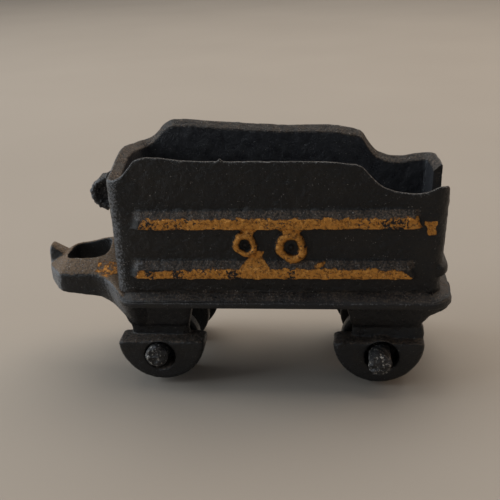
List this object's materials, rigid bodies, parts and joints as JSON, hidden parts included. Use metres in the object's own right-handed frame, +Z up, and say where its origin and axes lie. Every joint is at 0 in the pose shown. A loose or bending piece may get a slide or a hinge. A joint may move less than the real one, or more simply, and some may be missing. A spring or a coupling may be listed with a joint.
{
  "type": "toy coal tender",
  "caption": "Small cast-iron toy tender: open scalloped tub on a sill, riveted truck frames, rolling wheelsets and a looped front coupling.",
  "frame": {"origin": "on the ground, at the centre of the bounding box seen from above", "axes": "+X towards the rear end, -X towards the coupling loop, -Y the near side, +Z up"},
  "size_m": [0.0896, 0.0374, 0.0515],
  "materials": {
    "black_enamel": "worn semi-gloss black enamel on rough cast iron, with gold-painted ribs",
    "wheel_iron": "worn black cast iron",
    "bare_steel": "dull hammered steel"
  },
  "bodies": {
    "body": {"tub_near_half": "black_enamel", "tub_far_half": "black_enamel", "underframe": "black_enamel", "front_truck_frame": "black_enamel", "rear_truck_frame": "black_enamel", "coupling_yoke": "black_enamel", "rear_drawhook": "black_enamel", "front_lug": "black_enamel", "front_truck_rivet": "bare_steel", "rear_truck_rivet": "bare_steel", "near_foot_rivets": "bare_steel", "far_foot_rivets": "bare_steel"},
    "front_wheelset": {"front_axle": "bare_steel", "front_near_wheel": "wheel_iron", "front_far_wheel": "wheel_iron"},
    "rear_wheelset": {"rear_axle": "bare_steel", "rear_near_wheel": "wheel_iron", "rear_far_wheel": "wheel_iron"}
  },
  "joints": [
    {"name": "front_axle_roll", "type": "hinge", "parent": "body", "child": "front_wheelset", "pos_m": [-0.01865, 0, 0.0077], "axis": [0, 1, 0], "continuous": true},
    {"name": "rear_axle_roll", "type": "hinge", "parent": "body", "child": "rear_wheelset", "pos_m": [0.02895, 0, 0.0077], "axis": [0, 1, 0], "continuous": true}
  ]
}
